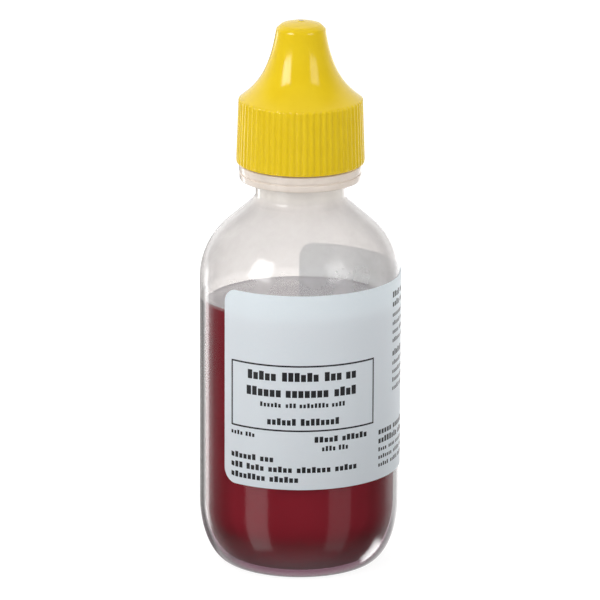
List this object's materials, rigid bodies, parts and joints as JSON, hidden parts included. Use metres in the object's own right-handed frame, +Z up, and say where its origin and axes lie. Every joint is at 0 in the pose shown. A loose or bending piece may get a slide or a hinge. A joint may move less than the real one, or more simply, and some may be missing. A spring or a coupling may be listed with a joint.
{
  "type": "dropper bottle",
  "caption": "Squeeze dropper bottle for indicator solution, with a press-in dropper tip, a ribbed screw cap with a nozzle cover and a wraparound label.",
  "frame": {"origin": "centre of the foot ring, on the plane the bottle stands on", "axes": "+Z up along the bottle's axis, -Y towards the front, where the label's printed face looks, +X to the right as seen from the front"},
  "size_m": [0.0401, 0.0402, 0.1107],
  "materials": {
    "bottle_ldpe": "satin",
    "indicator_solution": "gloss",
    "label_paper": "satin",
    "tip_ldpe": "satin",
    "pin_yellow": "gloss",
    "cap_yellow": "gloss"
  },
  "bodies": {
    "bottle_body": {"bottle": "bottle_ldpe", "liquid": "indicator_solution", "label": "label_paper", "dropper_tip": "tip_ldpe"},
    "seal_pin_body": {"cap_seal_pin": "pin_yellow"},
    "cap_body": {"cap": "cap_yellow"}
  },
  "joints": [
    {"name": "cap_lift", "type": "slide", "parent": "bottle_body", "child": "seal_pin_body", "axis": [0, 0, 1], "range_m": [0, 0.02857]},
    {"name": "cap_turn", "type": "hinge", "parent": "seal_pin_body", "child": "cap_body", "pos_m": [0, 0, 0.1], "axis": [0, 0, 1], "range_deg": [0, 3240.1]}
  ],
  "couplings": [
    {"joint": "cap_turn", "follows": "cap_lift", "rad_per_m": 1979}
  ]
}
